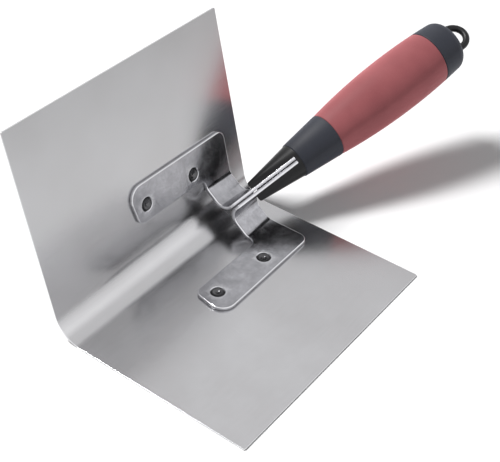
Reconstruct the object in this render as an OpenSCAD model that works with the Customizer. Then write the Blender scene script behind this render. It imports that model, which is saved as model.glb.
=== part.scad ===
// Inside corner trowel: a stainless blade bent into two wings, two riveted steel brackets whose tails
// meet back to back as the tang, and a soft handle moulded round the tang.
//
// The tool stands on its right wing. X runs along that wing from the corner line to its free edge,
// Y runs along the corner line from the front edge towards the handle, and Z is up.
// The origin is at the centre of the resting face, the flat outer face of the right wing.
//
// Two working frames are used. The corner frame has x sideways, y along the corner line and z along
// the bisector of the wings. The handle frame has z along the handle's axis, measured from its nose,
// x sideways and y down, towards the corner.

/* [Blade] */
// Length of the blade along the corner line
blade_length = 127; // [120:1:150]
// Width of each wing, from the outer corner line to its free edge
wing_width = 95.25; // [80:0.25:110]
// Angle between the wings when nothing presses on them
wing_angle = 103.3; // [100:0.1:107]
// Inner radius of the bend between the wings
corner_radius = 13; // [10:0.5:14]
// Thickness of the blade sheet
blade_thickness = 0.6; // [0.4:0.1:1]

/* [Brackets] */
// Thickness of the bracket plate
plate_thickness = 1.6; // [1.2:0.1:2]
// Front end of the bar that lies on a wing, from the blade's front edge
bar_front = 51.5; // [46:0.5:54]
// Rear edge of the brackets, from the blade's front edge
bar_rear = 116.2; // [115:0.2:119]
// Edge of the bar nearest the corner line
bar_inner = 24.5; // [23.5:0.5:27]
// Edge of the bar farthest from the corner line, at its front end
bar_outer = 42.8; // [42:0.2:50]
// How much nearer the corner line that edge is at its rear end
bar_taper = 1.2; // [0:0.1:2]
// How far the brackets are riveted off their mirrored places, both towards the right wing's edge
bracket_slide = 1.6; // [0:0.1:1.8]
// Front edge of the neck that leaves the bar
neck_front = 98.8; // [96:0.2:102]
// Height of the neck's flat above the corner line, along the bisector
neck_height = 11.5; // [11:0.1:12]
// Gap between the two tang plates
tang_gap = 0.4; // [0.2:0.1:0.8]

/* [Rivets] */
// Distance of the rivets from the corner line
rivet_out = 32.1; // [31:0.1:34]
// How far the rear rivets are off the line of the front ones, both towards the right wing's edge
rivet_drift = 1.7; // [0:0.1:2]
// Front rivet, from the blade's front edge
rivet_front = 61; // [60:0.5:66]
// Rear rivet, from the blade's front edge
rivet_rear = 92; // [86:0.5:94]
// Diameter of a rivet's formed head
rivet_head = 6.2; // [5.6:0.1:7]

/* [Handle] */
// Tilt of the handle above the corner line
handle_tilt = 22.5; // [21:0.5:24]
// Where the handle's axis starts, along the corner line
nose_back = 112.7; // [112.4:0.1:114]
// Where the handle's axis starts, along the bisector
nose_up = 20.7; // [20.5:0.1:21.5]
// Length of the hard neck in front of the collar
neck_length = 25; // [24:0.5:30]
// Length of the soft front collar
collar_length = 21.2; // [18:0.2:26]
// Length of the grip
grip_length = 66.4; // [60:0.2:80]
// Length of the butt cap
cap_length = 14.9; // [14:0.1:18]
// Largest diameter of the grip
grip_diameter = 29; // [28:0.5:32]
// Turn of the hanging loop about the handle's axis
loop_turn = 25; // [0:1:45]

/* [Hidden] */
$fn = 96;
eps = 0.01;                    // overlap that joins the shapes of one piece
moulded_fit = 0.05;            // clearance between pieces that are moulded or pressed together

// Blade
wing_slope = 90 - wing_angle / 2;                     // a wing's slope in the corner frame
corner_lift = blade_thickness;                        // inner corner line above the resting face
corner_shift = blade_thickness / tan(wing_angle / 2); // and its distance along X
wing_end = wing_width - corner_shift;                 // free edge, from the inner corner line
bend_start = corner_radius / tan(wing_angle / 2);     // where the bend meets a wing
bend_centre = corner_radius / sin(wing_angle / 2);    // height of the bend's centre
wing_corner = 1;                                      // corner rounding of a wing

// Centre of the resting face, from the outer corner line and the blade's front edge
flat_start = (corner_radius + blade_thickness) / tan(wing_angle / 2);
rest_x = (flat_start + wing_width) / 2;
rest_y = blade_length / 2;

// Bracket
foot_radius = 4;               // inner radius where the plate leaves the wing
turn_radius = 5.4;             // inner radius where the plate turns up into the tang
foot_outer = foot_radius + plate_thickness;
turn_outer = turn_radius + plate_thickness;
foot_x = ((neck_height + foot_outer) * cos(wing_slope) - foot_outer) / sin(wing_slope);
foot_start = foot_x * cos(wing_slope) + (neck_height + foot_outer) * sin(wing_slope);
turn_x = tang_gap / 2 + turn_outer;
slide_shift = bracket_slide * cos(wing_slope);        // sideways part of a bracket's slide along its wing
slide_lift = bracket_slide * sin(wing_slope);         // and its part along the bisector
tang_foot = neck_height + turn_outer;                 // height where the tang starts
neck_overlap = 0.4;            // how far the neck's bends run into the tang
neck_inset = 0.02;             // the bends are this much inside the flats, so that no faces coincide
front_slant = 3.2;             // how far the bar's front end slants back towards the corner
bar_inner_round = 4;
bar_outer_round = 6.5;
bar_rear_round = 4.5;

// Rivet
rivet_shank = 4.2;
rivet_flush_head = 5.6;        // countersunk head on the working face
rivet_proud = 0.15;            // how far the formed head stands above the bracket
head_depth = 0.9;
dimple_radius = 1.1;
dimple_depth = 0.45;

// Handle, as distances along its axis
collar_start = neck_length;
grip_start = collar_start + collar_length;
cap_start = grip_start + grip_length;
cap_end = cap_start + cap_length;
neck_end_radius = 8.5;
collar_front_radius = 8.9;
core_front_radius = 6.6;       // core inside the collar
core_radius = 8;               // core inside the grip
belly_radius = 325;            // radius of the grip's long profile curve
belly_centre = grip_start + 0.7 * grip_length;
nose_width = 10.5;
nose_top = 4.7;                // height of the nose's upper edge above the axis
nose_depth = 9.7;
nose_face_tilt = 30;           // the nose face leans back underneath
nose_face_start = 0.9;         // where the nose face crosses the axis
nose_round = 1.4;
cap_round = 5;
crown = 0.5;                   // crown of the cap's end face

// Tang, as distances along and above the handle's axis
slot_end = 23;                 // rear end of the open slot
tang_proud = 0.3;              // how far the tang's edge stands above the neck
tail_half = 3;                 // the tail reaches this far above and below the axis
tail_start = 9;
tail_end = 80;
tail_holes = [45, 66];         // the core's plastic runs through these
tail_hole_radius = 2.5;

// Hanging loop
loop_radius = 6.2;             // radius of the ring's centre line
loop_wire = 1.7;               // radius of the ring's section
loop_reach = 11.1;             // from the cap's end to the loop's far side
loop_centre = cap_end + loop_reach - loop_radius - loop_wire;
plug_start = cap_start + 2.4;
plug_end = plug_start + 4;
plug_stem_radius = 3;
plug_stem_length = 12;

// Distance of a point on the tool's middle plane along the handle's axis, and above it
function along_axis(y, z) = (y - nose_back) * cos(handle_tilt) + (z - nose_up) * sin(handle_tilt);
function above_axis(y, z) = (z - nose_up) * cos(handle_tilt) - (y - nose_back) * sin(handle_tilt);

// Radius of the grip and cap at a distance along the axis
function belly(h) = grip_diameter / 2 - belly_radius + sqrt(pow(belly_radius, 2) - pow(h - belly_centre, 2));

// Points of the arc that rounds corner b of the path a, b, c with the given radius
function rounded_corner(a, b, c, radius, steps = 8) =
    let (u = (a - b) / norm(a - b),
         v = (c - b) / norm(c - b),
         half = acos(u * v) / 2,
         centre = b + (u + v) / norm(u + v) * radius / sin(half),
         from = b + u * radius / tan(half) - centre,
         turn = sign(u.x * v.y - u.y * v.x) * (2 * half - 180))
    [for (i = [0 : steps])
        let (angle = turn * i / steps)
        centre + [from.x * cos(angle) - from.y * sin(angle), from.x * sin(angle) + from.y * cos(angle)]];

// Points of an arc, every few degrees
function arc(centre, radius, from_angle, to_angle, step = 3) =
    let (steps = ceil(abs(to_angle - from_angle) / step))
    [for (i = [0 : steps])
        let (angle = from_angle + (to_angle - from_angle) * i / steps)
        centre + radius * [cos(angle), sin(angle)]];

// An outline from corners given as [x, y, radius], where a radius of 0 stays sharp
function rounded_outline(corners) =
    let (n = len(corners))
    [for (i = [0 : n - 1])
        let (before = corners[(i + n - 1) % n],
             here = corners[i],
             after = corners[(i + 1) % n],
             a = [before.x, before.y],
             b = [here.x, here.y],
             c = [after.x, after.y])
        each (here[2] == 0 ? [b] : rounded_corner(a, b, c, here[2]))];

module in_corner() {
    translate([corner_shift - rest_x, -rest_y, corner_lift]) rotate([0, wing_slope, 0]) children();
}

// The handle follows the tang, off the middle plane of the wings
module in_handle() {
    in_corner() translate([slide_shift, nose_back, nose_up]) rotate([handle_tilt - 90, 0, 0]) children();
}

// Lays a child drawn in x (from the corner line) and y (along it) on the right wing's inner face
module on_right_wing() {
    rotate([0, -wing_slope, 0]) children();
}

// Extrudes an outline drawn along and above the handle's axis, from one distance sideways to another
module beside_axis(from_x, to_x) {
    translate([from_x, nose_back, nose_up]) rotate([handle_tilt, 0, 0]) rotate([90, 0, 90])
        linear_extrude(to_x - from_x) children();
}

module wing_outline() {
    polygon(rounded_outline([
        [bend_start, 0, 0],
        [wing_end, 0, wing_corner],
        [wing_end, blade_length, wing_corner],
        [bend_start, blade_length, 0]
    ]));
}

// The space that a rivet fills, from the working face up to the bracket's top
module rivet_shape(grow) {
    head_base = plate_thickness - head_depth;
    rotate_extrude() polygon([
        [0, -blade_thickness - grow],
        [rivet_flush_head / 2 + grow, -blade_thickness - grow],
        [rivet_shank / 2 + grow, 0],
        [rivet_shank / 2 + grow, head_base],
        [rivet_head / 2 + grow, plate_thickness],
        [rivet_head / 2 + grow, plate_thickness + rivet_proud + grow],
        [0, plate_thickness + rivet_proud + grow]
    ]);
}

// Distance of a rivet from the corner line. The side is 1 on the right wing and -1 on the left.
function rivet_place(side, y) = rivet_out + side * (bracket_slide + (y == rivet_rear ? rivet_drift : 0));

module rivet_holes(side) {
    for (y = [rivet_front, rivet_rear]) translate([rivet_place(side, y), y, 0]) rivet_shape(moulded_fit);
}

module wing(side) {
    on_right_wing() difference() {
        translate([0, 0, -blade_thickness]) linear_extrude(blade_thickness) wing_outline();
        rivet_holes(side);
    }
}

module blade() {
    color("silver") in_corner() union() {
        wing(1);
        mirror([1, 0, 0]) wing(-1);
        translate([0, 0, bend_centre]) rotate([-90, 0, 0]) rotate([0, 0, 90 - wing_slope])
            rotate_extrude(angle = 2 * wing_slope)
                translate([corner_radius, 0]) square([blade_thickness, blade_length]);
    }
}

module bar_outline() {
    polygon(rounded_outline([
        [foot_start, bar_rear, 0],
        [foot_start, neck_front, 0],
        [bar_inner, neck_front, bar_inner - foot_start - neck_overlap],
        [bar_inner, bar_front + front_slant, bar_inner_round],
        [bar_outer, bar_front, bar_outer_round],
        [bar_outer - bar_taper, bar_rear, bar_rear_round]
    ]));
}

// The neck's section across the corner line: off the wing, level over the bend, up into the tang
module neck_section() {
    along_wing = [cos(wing_slope), sin(wing_slope)];
    off_wing = [-sin(wing_slope), cos(wing_slope)];
    foot_centre = [foot_x, neck_height + foot_outer];
    turn_centre = [turn_x, tang_foot];
    top = tang_foot + neck_overlap;
    polygon(concat(
        [along_wing * bar_inner + off_wing * neck_inset],
        arc(foot_centre, foot_outer - neck_inset, 270 + wing_slope, 270),
        arc(turn_centre, turn_outer - neck_inset, 270, 180),
        [[turn_x - turn_outer + neck_inset, top], [turn_x - turn_radius - neck_inset, top]],
        arc(turn_centre, turn_radius + neck_inset, 180, 270),
        arc(foot_centre, foot_radius + neck_inset, 270, 270 + wing_slope),
        [along_wing * bar_inner + off_wing * (plate_thickness - neck_inset)]
    ));
}

module neck_bends() {
    translate([0, bar_rear - neck_inset, 0]) rotate([90, 0, 0])
        linear_extrude(bar_rear - neck_front - 2 * neck_inset) neck_section();
}

// A point on the tang, given along the corner line and the bisector
function beside(y, z) = [along_axis(y, z), above_axis(y, z)];

// The tang of a bracket whose neck is lifted by the given amount
module tang_outline(lift) {
    slope = (neck_end_radius - nose_top) / neck_length;
    polygon([
        beside(neck_front, tang_foot + lift),
        beside(neck_front, tang_foot + lift + 2 * neck_overlap),
        [slot_end, nose_top + slope * slot_end + tang_proud],
        [slot_end, tail_half],
        [tail_end, tail_half],
        [tail_end, -tail_half],
        [tail_start, -tail_half],
        beside(bar_rear, tang_foot + lift + neck_overlap),
        beside(bar_rear, tang_foot + lift)
    ]);
}

// A bracket in the corner frame, on the right wing. The left one, on side -1, is mirrored afterwards.
module bracket(side) {
    shift = side * slide_shift;
    lift = side * slide_lift;
    difference() {
        translate([shift, 0, lift]) on_right_wing() linear_extrude(plate_thickness) bar_outline();
        on_right_wing() rivet_holes(side);
    }
    translate([shift, 0, lift]) neck_bends();
    beside_axis(shift + tang_gap / 2, shift + tang_gap / 2 + plate_thickness) difference() {
        tang_outline(lift);
        for (h = tail_holes) translate([h, 0]) circle(tail_hole_radius);
    }
}

module bracket_right() {
    color("lightgray") in_corner() bracket(1);
}

module bracket_left() {
    color("lightgray") in_corner() mirror([1, 0, 0]) bracket(-1);
}

// A rivet on the right wing, or on side -1 the one to mirror, with a dimple in its formed head
module rivet(side, y) {
    color("dimgray") on_right_wing() translate([rivet_place(side, y), y, 0]) difference() {
        rivet_shape(0);
        translate([0, 0, plate_thickness + rivet_proud])
            cylinder(h = 2 * dimple_depth, r1 = 0.5 * dimple_radius, r2 = 1.5 * dimple_radius, center = true);
    }
}

module rivet_right_front() {
    in_corner() rivet(1, rivet_front);
}

module rivet_right_rear() {
    in_corner() rivet(1, rivet_rear);
}

module rivet_left_front() {
    in_corner() mirror([1, 0, 0]) rivet(-1, rivet_front);
}

module rivet_left_rear() {
    in_corner() mirror([1, 0, 0]) rivet(-1, rivet_rear);
}

// The hard neck blends from a flat-sided nose to the round body
module neck() {
    hull() {
        translate([0, 0, nose_face_start]) rotate([nose_face_tilt, 0, 0])
            linear_extrude(eps) translate([-nose_width / 2, -nose_top / cos(nose_face_tilt)])
                polygon(rounded_outline([
                    [0, 0, nose_round],
                    [nose_width, 0, nose_round],
                    [nose_width, nose_depth / cos(nose_face_tilt), nose_round],
                    [0, nose_depth / cos(nose_face_tilt), nose_round]
                ]));
        translate([0, 0, neck_length - eps]) cylinder(h = eps, r = neck_end_radius, $fn = 48);
    }
}

// The slot takes both tangs, so it has the outline of the left one, which reaches lower
module tang_slot() {
    half = tang_gap / 2 + plate_thickness + moulded_fit;
    beside_axis(slide_shift - half, slide_shift + half) tang_outline(-slide_lift);
}

// Plastic that fills the tang's holes and joins both halves of the core
module tang_keys() {
    half = tang_gap / 2 + plate_thickness + 2 * moulded_fit;
    for (h = tail_holes) beside_axis(slide_shift - half, slide_shift + half) translate([h, 0])
        circle(tail_hole_radius - moulded_fit);
}

module handle_core() {
    color([0.09, 0.09, 0.1]) union() {
        difference() {
            in_handle() union() {
                neck();
                translate([0, 0, collar_start - eps])
                    cylinder(h = collar_length + 2 * eps, r = core_front_radius);
                translate([0, 0, grip_start]) cylinder(h = plug_start - grip_start, r = core_radius);
            }
            in_corner() tang_slot();
            in_handle() translate([0, 0, plug_start - plug_stem_length - moulded_fit])
                cylinder(h = plug_stem_length + 1, r = plug_stem_radius + moulded_fit);
        }
        in_corner() tang_keys();
    }
}

module front_collar() {
    lip = 0.5;
    color([0.22, 0.23, 0.26]) in_handle() rotate_extrude() polygon([
        [core_front_radius + moulded_fit, collar_start],
        [collar_front_radius - lip, collar_start],
        [collar_front_radius, collar_start + lip],
        [belly(grip_start), grip_start],
        [core_front_radius + moulded_fit, grip_start]
    ]);
}

module grip() {
    color([0.66, 0.33, 0.35]) in_handle() rotate_extrude() intersection() {
        translate([grip_diameter / 2 - belly_radius, belly_centre]) circle(belly_radius, $fn = 1440);
        translate([core_radius + moulded_fit, grip_start]) square([grip_diameter, grip_length]);
    }
}

module loop_legs(from_h, to_h, radius) {
    rotate([0, 0, -loop_turn]) for (side = [-1, 1])
        translate([side * loop_radius, 0, from_h]) cylinder(h = to_h - from_h, r = radius);
}

module butt_cap() {
    color([0.22, 0.23, 0.26]) in_handle() difference() {
        rotate_extrude() polygon(rounded_outline([
            [0, cap_start, 0],
            [belly(cap_start), cap_start, 0],
            [belly(cap_end), cap_end - crown, cap_round],
            [0, cap_end, 0]
        ]));
        translate([0, 0, cap_start - 1])
            cylinder(h = plug_end - cap_start + 1 + moulded_fit, r = core_radius + moulded_fit);
        loop_legs(plug_end - 1, cap_end + 1, loop_wire + moulded_fit);
    }
}

module hang_loop() {
    color([0.1, 0.1, 0.11]) in_handle() union() {
        rotate([0, 0, -loop_turn]) translate([0, 0, loop_centre]) rotate([90, 0, 0])
            rotate_extrude(angle = 180) translate([loop_radius, 0]) circle(loop_wire);
        loop_legs(plug_end - 1, loop_centre, loop_wire);
        translate([0, 0, plug_start]) cylinder(h = plug_end - plug_start, r = core_radius);
        translate([0, 0, plug_start - plug_stem_length])
            cylinder(h = plug_stem_length + 1, r = plug_stem_radius);
    }
}

blade();
bracket_left();
bracket_right();
rivet_left_front();
rivet_left_rear();
rivet_right_front();
rivet_right_rear();
handle_core();
front_collar();
grip();
butt_cap();
hang_loop();
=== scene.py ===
"""The looks of the inside corner trowel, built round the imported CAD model. Every length is in metres.

Two working frames are used. The corner frame has x sideways, y along the corner line and z along the
bisector of the wings. The handle frame has z along the handle's axis from its nose, x sideways and y down.
"""
import math
from itertools import pairwise

import bmesh
import bpy
from mathutils import Matrix, Vector
from mathutils.geometry import delaunay_2d_cdt


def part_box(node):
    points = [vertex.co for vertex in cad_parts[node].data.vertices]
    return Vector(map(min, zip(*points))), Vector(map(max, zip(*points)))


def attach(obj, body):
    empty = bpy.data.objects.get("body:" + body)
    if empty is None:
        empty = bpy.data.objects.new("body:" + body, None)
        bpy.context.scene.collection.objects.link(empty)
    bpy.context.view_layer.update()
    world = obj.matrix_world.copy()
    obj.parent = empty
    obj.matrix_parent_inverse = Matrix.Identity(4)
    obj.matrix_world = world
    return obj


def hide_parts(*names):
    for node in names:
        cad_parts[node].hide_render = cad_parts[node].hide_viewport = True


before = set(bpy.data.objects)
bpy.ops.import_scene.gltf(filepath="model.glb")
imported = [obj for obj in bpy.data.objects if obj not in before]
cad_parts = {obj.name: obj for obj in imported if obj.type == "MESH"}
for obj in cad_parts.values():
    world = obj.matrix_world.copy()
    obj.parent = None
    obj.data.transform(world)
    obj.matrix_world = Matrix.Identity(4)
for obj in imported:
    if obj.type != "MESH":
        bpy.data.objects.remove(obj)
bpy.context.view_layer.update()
MM = 0.001

# Blade, with the dimensions of the CAD model
BLADE_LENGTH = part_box("blade")[1].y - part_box("blade")[0].y
WING_WIDTH = 95.25 * MM
HALF_ANGLE = math.radians(103.3) / 2
CORNER_RADIUS = 13 * MM
SHEET = 0.6 * MM
WING_SLOPE = math.pi / 2 - HALF_ANGLE
CORNER_SHIFT = SHEET / math.tan(HALF_ANGLE)
WING_END = WING_WIDTH - CORNER_SHIFT
BEND_START = CORNER_RADIUS / math.tan(HALF_ANGLE)
FLAT_START = (CORNER_RADIUS + SHEET) / math.tan(HALF_ANGLE)
REST_X = (FLAT_START + WING_WIDTH) / 2
WING_CORNER = 1 * MM
SHEET_EDGE = 0.12 * MM          # rounding of the sheet's edges

# Brackets
PLATE = 1.6 * MM
BAR_FRONT = 51.5 * MM
BAR_REAR = 116.2 * MM
BAR_INNER = 24.5 * MM
BAR_OUTER = 42.8 * MM
BAR_TAPER = 1.2 * MM
FRONT_SLANT = 3.2 * MM
OUTER_ROUND = 6.5 * MM
INNER_ROUND = 4 * MM
REAR_ROUND = 4.5 * MM
PLATE_EDGE = 0.35 * MM          # rounding of a plate's edges
NECK_FRONT = 98.8 * MM
NECK_HEIGHT = 11.5 * MM
TANG_GAP = 0.4 * MM
FOOT_RADIUS = 4 * MM + PLATE
TURN_RADIUS = 5.4 * MM + PLATE
FOOT_X = ((NECK_HEIGHT + FOOT_RADIUS) * math.cos(WING_SLOPE) - FOOT_RADIUS) / math.sin(WING_SLOPE)
FOOT_START = FOOT_X * math.cos(WING_SLOPE) + (NECK_HEIGHT + FOOT_RADIUS) * math.sin(WING_SLOPE)
TURN_X = TANG_GAP / 2 + TURN_RADIUS
TANG_FOOT = NECK_HEIGHT + TURN_RADIUS
NECK_OVERLAP = 0.4 * MM         # how far the tang's outline starts above its foot
BRACKET_SLIDE = 1.6 * MM
SLIDE_SHIFT = BRACKET_SLIDE * math.cos(WING_SLOPE)
SLIDE_LIFT = BRACKET_SLIDE * math.sin(WING_SLOPE)

# Rivets
RIVET_OUT = 32.1 * MM
RIVET_DRIFT = {"front": 0, "rear": 1.7 * MM}
RIVET_PLACES = {"front": 61 * MM, "rear": 92 * MM}
HEAD_RADIUS = 3.1 * MM
FLUSH_RADIUS = 2.8 * MM
SHANK_RADIUS = 2.1 * MM
HEAD_DEPTH = 0.9 * MM

# Handle, as distances along its axis from the nose
HANDLE_TILT = math.radians(22.5)
NOSE_BACK = 112.7 * MM
NOSE_UP = 20.7 * MM
NECK_END = 25 * MM
GRIP_START = NECK_END + 21.2 * MM
CAP_START = GRIP_START + 66.4 * MM
CAP_END = CAP_START + 14.9 * MM
SLOT_END = 23 * MM
TAIL_END = 80 * MM
TAIL_HALF = 3 * MM
TAIL_START = 9 * MM
TAIL_HOLES = (45 * MM, 66 * MM)
TAIL_HOLE_RADIUS = 2.5 * MM
NOSE_WIDTH = 10.5 * MM
NOSE_TOP = 4.7 * MM
NOSE_DEPTH = 9.7 * MM
NOSE_ROUND = 1.4 * MM
NOSE_FACE_START = 0.9 * MM
NOSE_FACE_TILT = math.radians(30)
NECK_RADIUS = 8.5 * MM
TANG_TOP = NOSE_TOP + (NECK_RADIUS - NOSE_TOP) * SLOT_END / NECK_END + 0.3 * MM
COLLAR_RADIUS = 8.9 * MM
CORE_FRONT_RADIUS = 6.6 * MM
CORE_RADIUS = 8 * MM
GRIP_RADIUS = 14.5 * MM
BELLY_RADIUS = 325 * MM
BELLY_CENTRE = GRIP_START + 0.7 * (CAP_START - GRIP_START)
PLUG_START = CAP_START + 2.4 * MM
PLUG_END = PLUG_START + 4 * MM
STEM_RADIUS = 3 * MM
STEM_LENGTH = 12 * MM
LOOP_TURN = math.radians(25)
LOOP_RADIUS = 6.2 * MM
LOOP_WIRE = 1.7 * MM
LOOP_CENTRE = CAP_END + 11.1 * MM - LOOP_RADIUS - LOOP_WIRE
CAP_ROUND = 5 * MM
CROWN = 0.5 * MM
FIT = 0.05 * MM

CORNER = (
    Matrix.Translation((CORNER_SHIFT - REST_X, -BLADE_LENGTH / 2, SHEET))
    @ Matrix.Rotation(WING_SLOPE, 4, "Y")
)
HANDLE = (
    CORNER
    @ Matrix.Translation((SLIDE_SHIFT, NOSE_BACK, NOSE_UP))
    @ Matrix.Rotation(HANDLE_TILT - math.pi / 2, 4, "X")
)


# ---- Meshes ----------------------------------------------------------------------------------------------


def add_piece(name, vertices, faces, place=Matrix(), uvs=None, wear_and_light=None):
    """A smooth-shaded mesh object with outward normals, placed by a matrix."""
    mesh = bpy.data.meshes.new(name)
    mesh.from_pydata([place @ Vector(v) for v in vertices], [], faces)
    if uvs:
        layer = mesh.uv_layers.new(name="flat")
        for loop in mesh.loops:
            layer.data[loop.index].uv = uvs[loop.vertex_index]
    if wear_and_light:
        mesh.attributes.new("wear_and_light", "FLOAT", "POINT").data.foreach_set("value", wear_and_light)
    shape = bmesh.new()
    shape.from_mesh(mesh)
    bmesh.ops.remove_doubles(shape, verts=shape.verts, dist=0.001 * MM)
    bmesh.ops.recalc_face_normals(shape, faces=shape.faces)
    shape.to_mesh(mesh)
    shape.free()
    piece = bpy.data.objects.new(name, mesh)
    bpy.context.scene.collection.objects.link(piece)
    shade(piece)
    return piece


def shade(piece):
    """Smooth shading that stays sharp at steep edges. Flat faces stay flat beside their rounded edges."""
    piece.data.shade_smooth()
    piece.data.set_sharp_from_angle(angle=math.radians(35))
    piece.modifiers.new("normals", "WEIGHTED_NORMAL").keep_sharp = True


def stand_for(piece, node, material):
    """Gives the piece its material and puts it in the place of a CAD node."""
    piece.data.materials.clear()
    piece.data.materials.append(material)
    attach(piece, "root")
    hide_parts(node)


def round_corner(before, corner, after, radius, steps=8):
    """Points of the arc that rounds a corner of a path."""
    u = (before - corner).normalized()
    v = (after - corner).normalized()
    half = u.angle(v) / 2
    centre = corner + (u + v).normalized() * (radius / math.sin(half))
    start = corner + u * (radius / math.tan(half)) - centre
    turn = math.copysign(math.pi - 2 * half, v.cross(u))
    return [centre + Matrix.Rotation(turn * i / steps, 2) @ start for i in range(steps + 1)]


def round_outline(corners):
    """A closed outline from (x, y, radius) corners, where a radius of 0 stays sharp."""
    points = [Vector(corner[:2]) for corner in corners]
    outline = []
    for i, here in enumerate(points):
        radius = corners[i][2]
        if radius == 0:
            outline.append(here)
        else:
            outline += round_corner(points[i - 1], here, points[(i + 1) % len(points)], radius)
    return outline


def circle(centre, radius, count=40):
    """A clockwise ring of points, as the edge of a hole."""
    turns = [-math.tau * i / count for i in range(count)]
    return [Vector(centre) + radius * Vector((math.cos(t), math.sin(t))) for t in turns]


def inset(loop, distance):
    """The loop moved to its left, which is towards the plate's material."""
    moved = []
    for i, here in enumerate(loop):
        along = (here - loop[i - 1]).normalized()
        onward = (loop[(i + 1) % len(loop)] - here).normalized()
        normal = Vector((-along.y, along.x))
        middle = (normal + Vector((-onward.y, onward.x))).normalized()
        moved.append(here + middle * (distance / middle.dot(normal)))
    return moved


def split_at(loop, lines_x, lines_y):
    """Adds a point to the loop wherever it crosses a grid line."""
    points = []
    for i, start in enumerate(loop):
        end = loop[(i + 1) % len(loop)]
        cuts = set()
        for axis, lines in ((0, lines_x), (1, lines_y)):
            step = end[axis] - start[axis]
            if abs(step) > 1e-9:
                cuts |= {(line - start[axis]) / step for line in lines}
        apart = 0.1 * MM / (end - start).length
        last = 0
        points.append(start)
        for cut in sorted(cuts):
            if last + apart < cut < 1 - apart:
                points.append(start.lerp(end, cut))
                last = cut
    return points


def edge_rings(loop, thickness, rounding, support, steps=4):
    """(points, height, wear_and_light) rings over a rounded edge, from the top face round to the bottom face.
    Only the top rounding is marked: a worn edge with a painted highlight where it catches the light.
    """
    rings = [(inset(loop, support), thickness, 0.0)]
    # Top rounding marked 1 for edge wear and a painted highlight where the top edge catches the light; the
    # lower rounding stays 0.
    for base, first, last, worn_and_lit in ((thickness - rounding, steps, 0, 1.0), (rounding, 0, -steps, 0.0)):
        for i in range(first, last - 1, -1):
            angle = math.pi / 2 * i / steps
            height = base + rounding * math.sin(angle)
            rings.append((inset(loop, rounding * (1 - math.cos(angle))), height, worn_and_lit))
    rings.append((inset(loop, support), 0, 0.0))
    return rings


def hole_rings(centre, profile):
    """(points, height, wear_and_light) rings down a round hole, from (radius, height) steps, half marked for
    wear.
    """
    return [(circle(centre, radius), height, 0.5) for radius, height in profile]


def clear_of(point, loops, margin):
    """True if the point is inside the first loop, outside the others and not near any."""
    inside = False
    for loop in loops:
        for i, end in enumerate(loop):
            start = loop[i - 1]
            share = (point - start).dot(end - start) / (end - start).length_squared
            nearest = start.lerp(end, min(max(share, 0), 1))
            if (point - nearest).length < margin:
                return False
            if (start.y > point.y) != (end.y > point.y):
                crossing = start.x + (point.y - start.y) / (end.y - start.y) * (end.x - start.x)
                inside ^= crossing > point.x
    return inside


def fill(loops, lines_x, lines_y, margin):
    """The points added inside a face, and triangles that cover it all but its round holes."""
    edge_points = [point for loop in loops for point in loop]
    edges, spans = [], []
    first = 0
    for loop in loops:
        edges += [(first + i, first + (i + 1) % len(loop)) for i in range(len(loop))]
        spans.append((first, first + len(loop)))
        first += len(loop)
    grid = [Vector((x, y)) for x in lines_x for y in lines_y]
    inner = [point for point in grid if clear_of(point, loops, margin)]
    result = delaunay_2d_cdt(edge_points + inner, edges, [], 2, 1e-7)
    originals = [sources[0] for sources in result[3]]
    faces = [[originals[v] for v in face] for face in result[2]]
    # a triangle with all its corners on one round hole's rim would cover that hole
    open_faces = [
        face for face in faces
        if not any(low <= min(face) and max(face) < high for low, high in spans[1:])
    ]
    return inner, open_faces


def sheet_path(start, heading, bends):
    """Maps a flat sheet's (along, across, height) to the corner frame.

    The sheet runs from a start point (x, z) in a heading, straight for each length and then through each
    (length, radius, angle) bend, always towards its upper side. The radius is that of its lower face.
    """
    stretches = []
    point, reached = Vector(start), 0
    for length, radius, angle in bends:
        along = Vector((math.cos(heading), math.sin(heading)))
        stretches.append((reached, point, heading, None))
        point = point + along * length
        reached += length
        if angle:
            up = Vector((along.y, -along.x))
            centre = point + up * radius
            stretches.append((reached, centre, heading, radius))
            heading -= angle
            reached += radius * angle
            point = centre - radius * Vector((math.sin(heading), -math.cos(heading)))

    def place(s, y, height):
        """The spot that a point of the flat sheet is bent to."""
        begin, base, direction, radius = [item for item in stretches if item[0] <= max(s, 0) + 1e-7][-1]
        if radius is None:
            along = Vector((math.cos(direction), math.sin(direction)))
            spot = base + along * (s - begin) + Vector((along.y, -along.x)) * height
        else:
            direction -= (s - begin) / radius
            spot = base - (radius - height) * Vector((math.sin(direction), -math.cos(direction)))
        return Vector((spot.x, y, spot.y))

    return place, [item[0] for item in stretches[1:]]


def grid_lines(start, end, spacing):
    """Evenly spaced values from start to end, about the given spacing apart."""
    count = max(1, round((end - start) / spacing))
    return [start + (end - start) * i / count for i in range(count + 1)]


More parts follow.
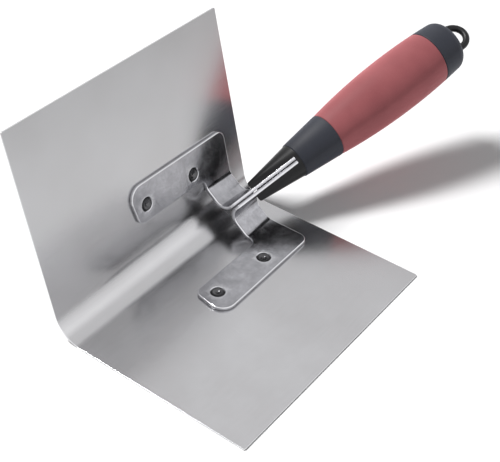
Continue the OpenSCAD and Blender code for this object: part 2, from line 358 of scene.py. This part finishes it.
def bent_plate(name, outline, holes, bend, lines_x, lines_y, thickness, rounding, side=1):
    """A plate with rounded edges and drilled holes, bent as its sheet path says."""
    support = rounding + 0.1 * MM
    loops = [edge_rings(split_at(outline, lines_x, lines_y), thickness, rounding, support), *holes]
    vertices, faces, wear_and_light, starts = [], [], [], []
    for rings in loops:
        starts.append([])
        for points, height, worn_and_lit in rings:
            starts[-1].append(len(vertices))
            vertices += [(p.x, p.y, height) for p in points]
            wear_and_light += [worn_and_lit] * len(points)
        count = len(rings[0][0])
        for upper, lower in pairwise(starts[-1]):
            for i in range(count):
                j = (i + 1) % count
                faces.append((upper + i, lower + i, lower + j, upper + j))
    for ring, height in ((0, thickness), (-1, 0)):
        rims = [rings[ring][0] for rings in loops]
        numbers = [start[ring] + i for start, rim in zip(starts, rims) for i in range(len(rim))]
        inner, triangles = fill(rims, lines_x, lines_y, 0.3 * MM)
        numbers += range(len(vertices), len(vertices) + len(inner))
        vertices += [(p.x, p.y, height) for p in inner]
        wear_and_light += [0.0] * len(inner)
        faces += [tuple(numbers[v] for v in triangle) for triangle in triangles]
    spots = [bend(*vertex) for vertex in vertices]
    spots = [(side * spot.x, spot.y, spot.z) for spot in spots]
    uvs = [(x, y) for x, y, height in vertices]
    return add_piece(name, spots, faces, CORNER, uvs, wear_and_light)


def loft(name, rings, place=HANDLE, closed=False, wear_and_light=None):
    """A skin over rings of points, with a wear_and_light value for each ring, which marks worn places and
    painted light and shade.

    Its ends are capped unless the last ring joins the first.
    """
    count = len(rings[0])
    vertices = [point for ring in rings for point in ring]
    pairs = list(pairwise(range(len(rings))))
    if closed:
        pairs.append((len(rings) - 1, 0))
    faces = []
    for low, high in pairs:
        for i in range(count):
            j = (i + 1) % count
            faces.append((low * count + i, low * count + j, high * count + j, high * count + i))
    if not closed:
        faces.append(tuple(range(count))[::-1])
        faces.append(tuple(range(len(vertices) - count, len(vertices))))
    worn_and_lit = wear_and_light and [value for value in wear_and_light for point in rings[0]]
    return add_piece(name, vertices, faces, place, wear_and_light=worn_and_lit)


def turned(profile, count=96):
    """Rings of a turned shape, from (radius, distance along the axis) points."""
    turns = [math.tau * i / count for i in range(count)]
    return [[(r * math.cos(t), r * math.sin(t), h) for t in turns] for r, h in profile]


def combine(piece, other, operation):
    """Joins the other shape to the piece with UNION, or takes it out with DIFFERENCE."""
    piece.modifiers.clear()
    modifier = piece.modifiers.new("combine", "BOOLEAN")
    modifier.object = other
    modifier.operation = operation
    modifier.solver = "EXACT"
    other.modifiers.clear()
    bpy.context.view_layer.update()
    piece.data = bpy.data.meshes.new_from_object(piece.evaluated_get(bpy.context.evaluated_depsgraph_get()))
    piece.modifiers.clear()
    bpy.data.objects.remove(other)
    shade(piece)


def rod(radius, low, high, place=HANDLE):
    """A plain round rod for cutting and joining, along the axis of its place."""
    return loft("rod", turned([(radius, low), (radius, high)], 48), place)


# ---- Materials -------------------------------------------------------------------------------------------


def add_node(tree, kind, inputs=None, **settings):
    """A shader node. Its inputs are numbers, or another node's output."""
    node = tree.nodes.new("ShaderNode" + kind)
    for key, value in settings.items():
        setattr(node, key, value)
    for key, value in (inputs or {}).items():
        if isinstance(value, bpy.types.NodeSocket):
            tree.links.new(value, node.inputs[key])
        else:
            node.inputs[key].default_value = value
    return node


def noise(tree, vector, scale, detail=3, stretch=(1, 1, 1), roughness=0.55):
    """Noise from 0 to 1, finer for a larger scale and drawn out where stretch is small."""
    mapping = add_node(tree, "Mapping", {"Vector": vector, "Scale": stretch})
    inputs = {"Vector": mapping.outputs[0], "Scale": scale, "Detail": detail, "Roughness": roughness}
    return add_node(tree, "TexNoise", inputs).outputs["Fac"]


def spread(tree, value, to_low, to_high, low=0.3, high=0.7):
    """The value from low..high taken to to_low..to_high."""
    inputs = {"Value": value, "From Min": low, "From Max": high, "To Min": to_low, "To Max": to_high}
    return add_node(tree, "MapRange", inputs).outputs[0]


def join(tree, operation, a, b):
    """Two values joined by a math operation."""
    return add_node(tree, "Math", {0: a, 1: b}, operation=operation).outputs[0]


def mix_colours(tree, factor, a, b):
    """Colour a at factor 0 and b at factor 1. Either is a colour or another node's output."""
    mix = add_node(tree, "Mix", {"Factor": factor}, data_type="RGBA")
    for socket, colour in ((mix.inputs[6], a), (mix.inputs[7], b)):
        if isinstance(colour, bpy.types.NodeSocket):
            tree.links.new(colour, socket)
        else:
            socket.default_value = (*colour, 1)
    return mix.outputs[2]


def new_material(name):
    """A new material with its node tree, Principled shader and position in metres."""
    material = bpy.data.materials.new(name)
    material.use_nodes = True
    tree = material.node_tree
    position = add_node(tree, "TexCoord").outputs["Object"]
    return material, tree, tree.nodes["Principled BSDF"], position


def set_bump(tree, shader, height, distance):
    """Fine relief, as deep as the distance where the height is 1."""
    inputs = {"Height": height, "Distance": distance, "Strength": 1.0}
    tree.links.new(add_node(tree, "Bump", inputs).outputs[0], shader.inputs["Normal"])


def set_inputs(tree, shader, inputs):
    """Sets the shader's inputs to numbers or to other nodes' outputs."""
    for key, value in inputs.items():
        if isinstance(value, bpy.types.NodeSocket):
            tree.links.new(value, shader.inputs[key])
        else:
            shader.inputs[key].default_value = value


def blade_steel():
    """Satin stainless sheet: fine grain along the blade, faint rolling clouds and a few scratches."""
    material, tree, shader, position = new_material("blade_steel")
    flat = add_node(tree, "UVMap", uv_map="flat").outputs[0]
    clouds = noise(tree, position, 22, 4)
    grain = noise(tree, flat, 2600, 3, (1, 0.03, 1))
    scratches = noise(tree, flat, 900, 2, (0.02, 1, 1))
    scratch = spread(tree, scratches, 0, 1, 0.68, 0.74)
    worn_and_lit = add_node(tree, "Attribute", attribute_name="wear_and_light").outputs["Fac"]
    tone = mix_colours(tree, spread(tree, clouds, 0, 1), (0.46, 0.455, 0.46), (0.52, 0.52, 0.53))
    tone = mix_colours(tree, spread(tree, grain, 0, 0.15), tone, (0.6, 0.6, 0.61))
    # Painted highlight on the top rounded edges, partly edge wear: lighter where wear_and_light is 1.
    tone = mix_colours(tree, worn_and_lit, tone, (0.72, 0.72, 0.73))
    rough = join(tree, "ADD", spread(tree, clouds, 0.18, 0.23), spread(tree, grain, -0.02, 0.02))
    rough = join(tree, "ADD", rough, join(tree, "MULTIPLY", scratch, 0.05))
    set_inputs(tree, shader, {"Base Color": tone, "Metallic": 1, "Roughness": rough, "Anisotropic": 0.2})
    set_bump(tree, shader, join(tree, "SUBTRACT", grain, join(tree, "MULTIPLY", scratch, 0.3)), 0.002 * MM)
    return material


def bracket_steel():
    """Tumbled steel plate: mottled, with small dents and bright top edges, partly worn and partly a painted
    highlight.
    """
    material, tree, shader, position = new_material("bracket_steel")
    patches = noise(tree, position, 150, 5, roughness=0.65)
    spots = noise(tree, position, 700, 3)
    pits = add_node(tree, "TexVoronoi", {"Vector": position, "Scale": 900}).outputs["Distance"]
    worn_and_lit = add_node(tree, "Attribute", attribute_name="wear_and_light").outputs["Fac"]
    tone = mix_colours(tree, spread(tree, patches, 0, 1), (0.27, 0.27, 0.285), (0.44, 0.44, 0.465))
    tone = mix_colours(tree, spread(tree, spots, 0, 0.35), tone, (0.28, 0.28, 0.29))
    # Painted highlight on the top rounded edges, partly edge wear: lighter where wear_and_light is 1.
    tone = mix_colours(tree, worn_and_lit, tone, (0.66, 0.66, 0.68))
    rough = join(tree, "ADD", spread(tree, patches, 0.15, 0.24), spread(tree, spots, -0.03, 0.04))
    set_inputs(tree, shader, {"Base Color": tone, "Metallic": 1, "Roughness": rough})
    height = join(tree, "ADD", patches, join(tree, "MULTIPLY", pits, 0.25))
    set_bump(tree, shader, height, 0.02 * MM)
    return material


def rivet_steel():
    """Formed rivet steel, dark, with fine marks and a painted shade ring round the lighter middle of the
    head, where the groove at its rim is shaded.
    """
    material, tree, shader, position = new_material("rivet_steel")
    patches = noise(tree, position, 420, 4)
    marks = noise(tree, position, 2200, 2)
    worn_and_lit = add_node(tree, "Attribute", attribute_name="wear_and_light").outputs["Fac"]
    # Painted shade: the head's outer rim, by the groove round it, is nearly black; the middle keeps the
    # head's own tone.
    ring = mix_colours(tree, spread(tree, patches, 0, 1), (0.01, 0.01, 0.011), (0.025, 0.025, 0.028))
    middle = mix_colours(tree, spread(tree, patches, 0, 1), (0.07, 0.07, 0.074), (0.14, 0.14, 0.145))
    tone = mix_colours(tree, worn_and_lit, ring, middle)
    tone = mix_colours(tree, spread(tree, marks, 0, 0.4), tone, (0.08, 0.08, 0.08))
    rough = spread(tree, patches, 0.18, 0.27)
    set_inputs(tree, shader, {"Base Color": tone, "Metallic": 1, "Roughness": rough})
    set_bump(tree, shader, join(tree, "ADD", patches, join(tree, "MULTIPLY", marks, 0.3)), 0.05 * MM)
    return material


def moulded(name, dark, light, rough_low, rough_high, stipple, depth, shine, dust=None):
    """Moulded plastic: a fine stipple, soft cloudy colour and, where it's handled, a little dust."""
    material, tree, shader, position = new_material(name)
    clouds = noise(tree, position, 60, 4)
    texture = noise(tree, position, stipple, 2)
    waves = noise(tree, position, 240, 2)
    tone = mix_colours(tree, spread(tree, clouds, 0, 1), dark, light)
    if dust:
        specks = noise(tree, position, 1500, 3, roughness=0.7)
        tone = mix_colours(tree, spread(tree, specks, 0, 0.35, 0.58, 0.75), tone, dust)
    rough = join(tree, "ADD", spread(tree, clouds, rough_low, rough_high), spread(tree, texture, -0.04, 0.04))
    set_inputs(tree, shader, {"Base Color": tone, "Roughness": rough, "IOR": 1.46})
    set_inputs(tree, shader, {"Diffuse Roughness": 1.0, "Specular IOR Level": shine})
    set_bump(tree, shader, join(tree, "ADD", texture, waves), depth)
    return material


def floor_material():
    """A matt, nearly white floor with the faintest clouding."""
    material, tree, shader, position = new_material("pale_floor")
    shade = spread(tree, noise(tree, position, 6, 2), 0, 1)
    tone = mix_colours(tree, shade, (0.89, 0.89, 0.895), (0.91, 0.91, 0.91))
    set_inputs(tree, shader, {"Base Color": tone, "Roughness": 0.9})
    shader.inputs["Specular IOR Level"].default_value = 0.1
    return material


# ---- Blade and brackets ----------------------------------------------------------------------------------


def rivet_out(side, end):
    """Distance of a rivet from the corner line, on the right wing (side 1) or the left one (side -1)."""
    return RIVET_OUT + side * (BRACKET_SLIDE + RIVET_DRIFT[end])


def make_blade(material):
    """The sheet with its wide bend and four countersunk rivet holes."""
    wing_length = WING_END - BEND_START
    along = Vector((math.cos(WING_SLOPE), math.sin(WING_SLOPE)))
    start = along * WING_END + Vector((along.y, -along.x)) * SHEET
    bends = [(wing_length, CORNER_RADIUS + SHEET, 2 * WING_SLOPE), (wing_length, 0, 0)]
    bend, stations = sheet_path(start, math.pi + WING_SLOPE, bends)
    width = stations[-1] + wing_length
    outline = round_outline([
        (0, 0, WING_CORNER),
        (width, 0, WING_CORNER),
        (width, BLADE_LENGTH, WING_CORNER),
        (0, BLADE_LENGTH, WING_CORNER),
    ])
    lines_x = grid_lines(0, stations[0], 6 * MM) + grid_lines(stations[0], stations[1], 0.7 * MM)[1:]
    lines_x += grid_lines(stations[1], width, 6 * MM)[1:]
    lines_y = grid_lines(0, BLADE_LENGTH, 6 * MM)
    holes = []
    for end, y in RIVET_PLACES.items():
        for s in (WING_END - rivet_out(1, end), width - WING_END + rivet_out(-1, end)):
            holes.append(hole_rings((s, y), [(SHANK_RADIUS, SHEET), (FLUSH_RADIUS + FIT, 0)]))
    piece = bent_plate("blade_sheet", outline, holes, bend, lines_x, lines_y, SHEET, SHEET_EDGE)
    stand_for(piece, "blade", material)


def tang_point(h, above, lift):
    """A point of a tang whose bracket is lifted, along and above the handle's axis, as (height, y)."""
    y = NOSE_BACK + h * math.cos(HANDLE_TILT) - above * math.sin(HANDLE_TILT)
    z = NOSE_UP + h * math.sin(HANDLE_TILT) + above * math.cos(HANDLE_TILT)
    return z - TANG_FOOT - lift, y


def make_bracket(name, side, material):
    """A bracket, worked out on the right wing. The left one, on side -1, is mirrored at the end."""
    slide = Vector((SLIDE_SHIFT, SLIDE_LIFT)) * side
    start = Vector((math.cos(WING_SLOPE), math.sin(WING_SLOPE))) * BAR_OUTER + slide
    bends = [
        (BAR_OUTER - FOOT_START, FOOT_RADIUS, WING_SLOPE),
        (FOOT_X - TURN_X, TURN_RADIUS, math.pi / 2),
        (0, 0, 0),
    ]
    bend, stations = sheet_path(start, math.pi + WING_SLOPE, bends)
    tang = stations[-1]
    bar_width = BAR_OUTER - BAR_INNER
    tail = [
        (SLOT_END, TANG_TOP),
        (SLOT_END, TAIL_HALF),
        (TAIL_END, TAIL_HALF),
        (TAIL_END, -TAIL_HALF),
        (TAIL_START, -TAIL_HALF),
    ]
    tail = [tang_point(h, above, slide.y) for h, above in tail]
    outline = round_outline([
        (0, BAR_FRONT, OUTER_ROUND),
        (bar_width, BAR_FRONT + FRONT_SLANT, INNER_ROUND),
        (bar_width, NECK_FRONT, 4.5 * MM),
        (tang + 2 * NECK_OVERLAP, NECK_FRONT, 4 * MM),
        *[(tang + rise, y, 0) for rise, y in tail],
        (tang + NECK_OVERLAP, BAR_REAR, 0),
        (BAR_TAPER, BAR_REAR, REAR_ROUND),
    ])
    lines_x = grid_lines(0, stations[0], 3 * MM) + grid_lines(*stations[:2], 0.4 * MM)[1:]
    lines_x += [*grid_lines(*stations[1:3], 1 * MM)[1:], *grid_lines(*stations[2:4], 0.5 * MM)[1:]]
    lines_x += grid_lines(tang, tang + 60 * MM, 3 * MM)[1:]
    lines_y = grid_lines(BAR_FRONT, BAR_FRONT + 150 * MM, 3 * MM)
    seat = [
        (HEAD_RADIUS + 0.35 * MM, PLATE),
        (HEAD_RADIUS + 0.05 * MM, PLATE - 0.3 * MM),
        (SHANK_RADIUS + FIT, PLATE - HEAD_DEPTH),
        (SHANK_RADIUS + FIT, 0),
    ]
    holes = []
    for end, y in RIVET_PLACES.items():
        holes.append(hole_rings((BAR_OUTER + side * BRACKET_SLIDE - rivet_out(side, end), y), seat))
    for h in TAIL_HOLES:
        rise, y = tang_point(h, 0, slide.y)
        holes.append(hole_rings((tang + rise, y), [(TAIL_HOLE_RADIUS, PLATE), (TAIL_HOLE_RADIUS, 0)]))
    piece = bent_plate(name + "_plate", outline, holes, bend, lines_x, lines_y, PLATE, PLATE_EDGE, side)
    stand_for(piece, name, material)


def make_rivet(name, side, end, material):
    """A countersunk rivet, with a slightly domed and dimpled head formed in the bracket."""
    top = PLATE + 0.1 * MM
    profile = [
        (0.02 * MM, -SHEET),
        (FLUSH_RADIUS - 0.15 * MM, -SHEET),
        (FLUSH_RADIUS, -SHEET + 0.05 * MM),
        (SHANK_RADIUS, 0),
        (SHANK_RADIUS, PLATE - HEAD_DEPTH),
        (HEAD_RADIUS - 0.1 * MM, PLATE - 0.4 * MM),
        (HEAD_RADIUS - 0.12 * MM, PLATE - 0.15 * MM),
        (HEAD_RADIUS - 0.3 * MM, top - 0.04 * MM),
        (HEAD_RADIUS - 0.6 * MM, top),
        (HEAD_RADIUS - 1 * MM, top - 0.02 * MM),
        (HEAD_RADIUS - 1.5 * MM, top - 0.12 * MM),
        (1.1 * MM, top - 0.15 * MM),
        (0.8 * MM, top - 0.35 * MM),
        (0.4 * MM, top - 0.5 * MM),
        (0.02 * MM, top - 0.55 * MM),
    ]
    spot = Matrix.Translation((rivet_out(side, end), RIVET_PLACES[end], 0))
    on_wing = Matrix.Rotation(-WING_SLOPE, 4, "Y") @ spot
    mirror = Matrix.Diagonal((side, 1, 1, 1))
    # The head's middle is marked 1; the rim outside it gets the painted shade ring.
    shade_ring_radius = HEAD_RADIUS - 0.8 * MM
    wear_and_light = [float(ring_radius < shade_ring_radius) for ring_radius, ring_height in profile]
    piece = loft(name + "_formed", turned(profile, 48), CORNER @ mirror @ on_wing, wear_and_light=wear_and_light)
    stand_for(piece, name, material)


# ---- Handle ----------------------------------------------------------------------------------------------


def belly(h):
    """Radius of the grip and cap at a distance along the axis."""
    return GRIP_RADIUS - BELLY_RADIUS + math.sqrt(BELLY_RADIUS**2 - (h - BELLY_CENTRE) ** 2)


def quarter(centre, radius, start, steps=5):
    """(radius, distance) points of a quarter turn that starts at an angle given in degrees."""
    angles = [math.radians(start + 90 * i / steps) for i in range(steps + 1)]
    return [(centre[0] + radius * math.cos(a), centre[1] + radius * math.sin(a)) for a in angles]


def quadrant_angles(count):
    """Angles round a ring, with both ends of each quadrant."""
    share = count // 4
    return [math.pi / 2 * (i // share + i % share / (share - 1)) for i in range(count)]


def nose_ring(shrink, back, count):
    """The nose's rounded rectangle in the plane of its slanted face, made smaller and moved back."""
    middle = NOSE_DEPTH / 2 - NOSE_TOP
    half = Vector((NOSE_WIDTH / 2 - shrink, NOSE_DEPTH / 2 - shrink))
    radius = NOSE_ROUND - shrink / 2
    ring = []
    for i, angle in enumerate(quadrant_angles(count)):
        quadrant = i // (count // 4)
        x = (half.x - radius) * (1 if quadrant in (0, 3) else -1) + radius * math.cos(angle)
        y = (half.y - radius) * (1 if quadrant in (0, 1) else -1) + radius * math.sin(angle) + middle
        ring.append(Vector((x, y, NOSE_FACE_START + back + y * math.tan(NOSE_FACE_TILT))))
    return ring


def make_core(material):
    """The hard core: a neck that blends from its flat-sided nose to the round body, and the rod inside."""
    count = 96
    rounding = 0.6 * MM
    rings = []
    for i in range(5):
        turn = math.pi / 2 * i / 5
        rings.append(nose_ring(rounding * (1 - math.sin(turn)), rounding * (1 - math.cos(turn)), count))
    nose = nose_ring(0, rounding, count)
    round_end = [Vector((math.cos(angle), math.sin(angle), 0)) for angle in quadrant_angles(count)]
    for share in grid_lines(0, 1, 1 / 14):
        ends = [point * NECK_RADIUS + Vector((0, 0, NECK_END)) for point in round_end]
        rings.append([start.lerp(end, share) for start, end in zip(nose, ends)])
    for radius, h in (
        (CORE_FRONT_RADIUS, NECK_END),
        (CORE_FRONT_RADIUS, GRIP_START),
        (CORE_RADIUS, GRIP_START),
        (CORE_RADIUS, PLUG_START - FIT),
    ):
        rings.append([point * radius + Vector((0, 0, h)) for point in round_end])
    piece = loft("handle_core_body", rings)
    in_front = -30 * MM
    high = 40 * MM
    back = BAR_REAR - NOSE_BACK
    drop = TANG_FOOT - SLIDE_LIFT - NOSE_UP
    rear = back * math.cos(HANDLE_TILT) + drop * math.sin(HANDLE_TILT)
    foot = drop * math.cos(HANDLE_TILT) - back * math.sin(HANDLE_TILT)
    slot = [
        (in_front, high),
        (SLOT_END, high),
        (SLOT_END, TAIL_HALF + FIT),
        (TAIL_END, TAIL_HALF + FIT),
        (TAIL_END, -TAIL_HALF - FIT),
        (TAIL_START, -TAIL_HALF - FIT),
        (rear, foot - FIT),
        (rear, -high),
        (in_front, -high),
    ]
    half = TANG_GAP / 2 + PLATE + 0.1 * MM
    slab = loft("slot", [[(x, -above, h) for h, above in slot] for x in (-half, half)])
    for h in TAIL_HOLES:
        across = Matrix.Translation((0, 0, h)) @ Matrix.Rotation(math.pi / 2, 4, "Y")
        combine(slab, rod(TAIL_HOLE_RADIUS - FIT, -half - MM, half + MM, HANDLE @ across), "DIFFERENCE")
    combine(piece, slab, "DIFFERENCE")
    bore = rod(STEM_RADIUS + FIT, PLUG_START - STEM_LENGTH - FIT, PLUG_START + MM)
    combine(piece, bore, "DIFFERENCE")
    stand_for(piece, "handle_core", material)


def make_collar(material):
    """The sleeve between the neck and the grip, with a rounded front lip."""
    lip = 0.6 * MM
    bore = CORE_FRONT_RADIUS + FIT
    profile = [(bore, NECK_END), *quarter((COLLAR_RADIUS - lip, NECK_END + lip), lip, -90)]
    outer = belly(GRIP_START)
    for share in grid_lines(0, 1, 1 / 10)[1:-1]:
        radius = COLLAR_RADIUS + (outer - COLLAR_RADIUS) * share
        profile.append((radius, NECK_END + lip + (GRIP_START - NECK_END - 2 * lip) * share))
    edge = 0.4 * MM
    profile += [*quarter((outer - edge, GRIP_START - edge), edge, 0), (bore, GRIP_START)]
    piece = loft("front_collar_sleeve", turned(profile), closed=True)
    stand_for(piece, "front_collar", material)


def make_grip(material):
    """The red sleeve, with its long belly curve and rounded ends."""
    edge = 0.5 * MM
    bore = CORE_RADIUS + FIT
    low, high = GRIP_START + FIT, CAP_START - FIT
    profile = [(bore, low), *quarter((belly(low) - edge, low + edge), edge, -90)]
    for share in grid_lines(0, 1, 1 / 40)[1:-1]:
        h = low + edge + (high - low - 2 * edge) * share
        profile.append((belly(h), h))
    profile += [*quarter((belly(high) - edge, high - edge), edge, 0), (bore, high)]
    piece = loft("grip_sleeve", turned(profile), closed=True)
    stand_for(piece, "grip", material)


def make_cap(material):
    """The end cap, hollow over the core and the loop's plug, with two holes for the loop's legs."""
    edge = 0.5 * MM
    radius = belly(CAP_START)
    profile = [(CORE_RADIUS + FIT, PLUG_END), (CORE_RADIUS + FIT, CAP_START)]
    profile += quarter((radius - edge, CAP_START + edge), edge, -90)
    shoulder = CAP_END - CROWN - CAP_ROUND
    profile += [(belly(h), h) for h in grid_lines(CAP_START + edge, shoulder, 1.5 * MM)[1:-1]]
    profile += quarter((belly(shoulder) - CAP_ROUND, shoulder), CAP_ROUND, 0, 12)
    face = belly(shoulder) - CAP_ROUND
    profile += [(face * (1 - i / 6), CAP_END - CROWN * (1 - i / 6) ** 2) for i in range(1, 6)]
    profile += [(0.02 * MM, CAP_END)]
    piece = loft("butt_cap_body", turned(profile))
    for side in (-1, 1):
        leg = Matrix.Rotation(-LOOP_TURN, 4, "Z") @ Matrix.Translation((side * LOOP_RADIUS, 0, 0))
        combine(piece, rod(LOOP_WIRE + 0.12 * MM, PLUG_END - MM, CAP_END + MM, HANDLE @ leg), "DIFFERENCE")
    stand_for(piece, "butt_cap", material)


def make_loop(material):
    """The hanging loop: a half ring on two legs, which stand on a plug inside the cap."""
    legs = grid_lines(PLUG_END - MM, LOOP_CENTRE, 1.2 * MM)
    upward = Vector((0, 0, 1))
    path = [(Vector((LOOP_RADIUS, 0, h)), upward) for h in legs]
    steps = 32
    for i in range(1, steps):
        angle = math.pi * i / steps
        out = Vector((math.cos(angle), 0, math.sin(angle)))
        path.append((LOOP_CENTRE * upward + LOOP_RADIUS * out, Vector((-out.z, 0, out.x))))
    path += [(Vector((-LOOP_RADIUS, 0, h)), -upward) for h in reversed(legs)]
    sideways = Vector((0, 1, 0))
    rings = []
    for centre, along in path:
        out = sideways.cross(along)
        turns = [math.tau * i / 28 for i in range(28)]
        rings.append([centre + LOOP_WIRE * (math.cos(t) * out + math.sin(t) * sideways) for t in turns])
    piece = loft("hang_loop_ring", rings, HANDLE @ Matrix.Rotation(-LOOP_TURN, 4, "Z"))
    combine(piece, rod(CORE_RADIUS, PLUG_START, PLUG_END), "UNION")
    combine(piece, rod(STEM_RADIUS, PLUG_START - STEM_LENGTH, PLUG_START + MM), "UNION")
    stand_for(piece, "hang_loop", material)


# ---- Stage -----------------------------------------------------------------------------------------------


def make_camera():
    """A camera at the product view's angle: azimuth 0 would look along +Y."""
    data = bpy.data.cameras.new("camera")
    data.lens = 80.7
    data.clip_start = 10 * MM
    data.clip_end = 10
    camera = bpy.data.objects.new("camera", data)
    camera.location = (199.72 * MM, -285.61 * MM, 329.67 * MM)
    azimuth, elevation, roll = (math.radians(a) for a in (35.606, 39.336, 2.301))
    turn = Matrix.Rotation(azimuth, 4, "Z") @ Matrix.Rotation(math.pi / 2 - elevation, 4, "X")
    camera.rotation_mode = "QUATERNION"
    camera.rotation_quaternion = (turn @ Matrix.Rotation(roll, 4, "Z")).to_quaternion()
    bpy.context.scene.collection.objects.link(camera)
    bpy.context.scene.camera = camera


def make_floor():
    """A wide pale floor, a hair below the wing that rests on it."""
    size = 6
    mesh = bpy.data.meshes.new("floor")
    corners = [(-size, -size), (size, -size), (size, size), (-size, size)]
    mesh.from_pydata([(x, y, -0.05 * MM) for x, y in corners], [], [(0, 1, 2, 3)])
    floor = bpy.data.objects.new("floor", mesh)
    floor.data.materials.append(floor_material())
    bpy.context.scene.collection.objects.link(floor)


def make_light(name, location, target, size, power):
    """A soft rectangular lamp that faces its target, with its power in watts."""
    data = bpy.data.lights.new(name, "AREA")
    data.shape = "RECTANGLE"
    data.size, data.size_y = size
    data.energy = power
    light = bpy.data.objects.new(name, data)
    light.location = location
    light.rotation_euler = (Vector(target) - Vector(location)).to_track_quat("-Z", "Y").to_euler()
    bpy.context.scene.collection.objects.link(light)


def make_world():
    """A pale studio dome, brighter overhead and on the right. Matt pieces get only a dim fill from it."""
    world = bpy.data.worlds.new("studio")
    world.use_nodes = True
    tree = world.node_tree
    direction = add_node(tree, "TexCoord").outputs["Generated"]
    parts = add_node(tree, "SeparateXYZ", {0: direction}).outputs
    right = spread(tree, parts["X"], 1.0, 1.45, 0.3, 0.62)
    dome = join(tree, "MULTIPLY", spread(tree, parts["Z"], 0.72, 1.0, 0.0, 0.7), right)
    matt = add_node(tree, "LightPath").outputs["Is Diffuse Ray"]
    strength = spread(tree, matt, dome, 0.28, 0.0, 1.0)
    background = tree.nodes["Background"]
    background.inputs["Color"].default_value = (1, 1, 1.01, 1)
    tree.links.new(strength, background.inputs["Strength"])
    bpy.context.scene.world = world


def make_stage():
    """The camera, the floor, the dome and one key lamp on the left."""
    bpy.context.scene.view_settings.view_transform = "Standard"
    make_camera()
    make_floor()
    make_world()
    make_light("key", (-0.9, -0.2, 1.35), (0, 0.05, 0), (0.4, 0.4), 32)


make_stage()
steel = bracket_steel()
rivets = rivet_steel()
hard = moulded(
    "hard_plastic",
    dark=(0.006, 0.006, 0.007),
    light=(0.011, 0.011, 0.012),
    rough_low=0.34,
    rough_high=0.44,
    stipple=2600,
    depth=0.01 * MM,
    shine=0.3,
)
dark_soft = moulded(
    "dark_soft_plastic",
    dark=(0.034, 0.037, 0.05),
    light=(0.043, 0.047, 0.062),
    rough_low=0.5,
    rough_high=0.6,
    stipple=3200,
    depth=0.02 * MM,
    shine=0.3,
    dust=(0.075, 0.078, 0.088),
)
red_soft = moulded(
    "red_soft_plastic",
    dark=(0.39, 0.117, 0.127),
    light=(0.45, 0.142, 0.152),
    rough_low=0.5,
    rough_high=0.6,
    stipple=3200,
    depth=0.02 * MM,
    shine=0.2,
    dust=(0.5, 0.21, 0.215),
)
make_blade(blade_steel())
for side_name, side in (("left", -1), ("right", 1)):
    make_bracket("bracket_" + side_name, side, steel)
    for end in RIVET_PLACES:
        make_rivet(f"rivet_{side_name}_{end}", side, end, rivets)
make_core(hard)
make_collar(dark_soft)
make_grip(red_soft)
make_cap(dark_soft)
make_loop(hard)
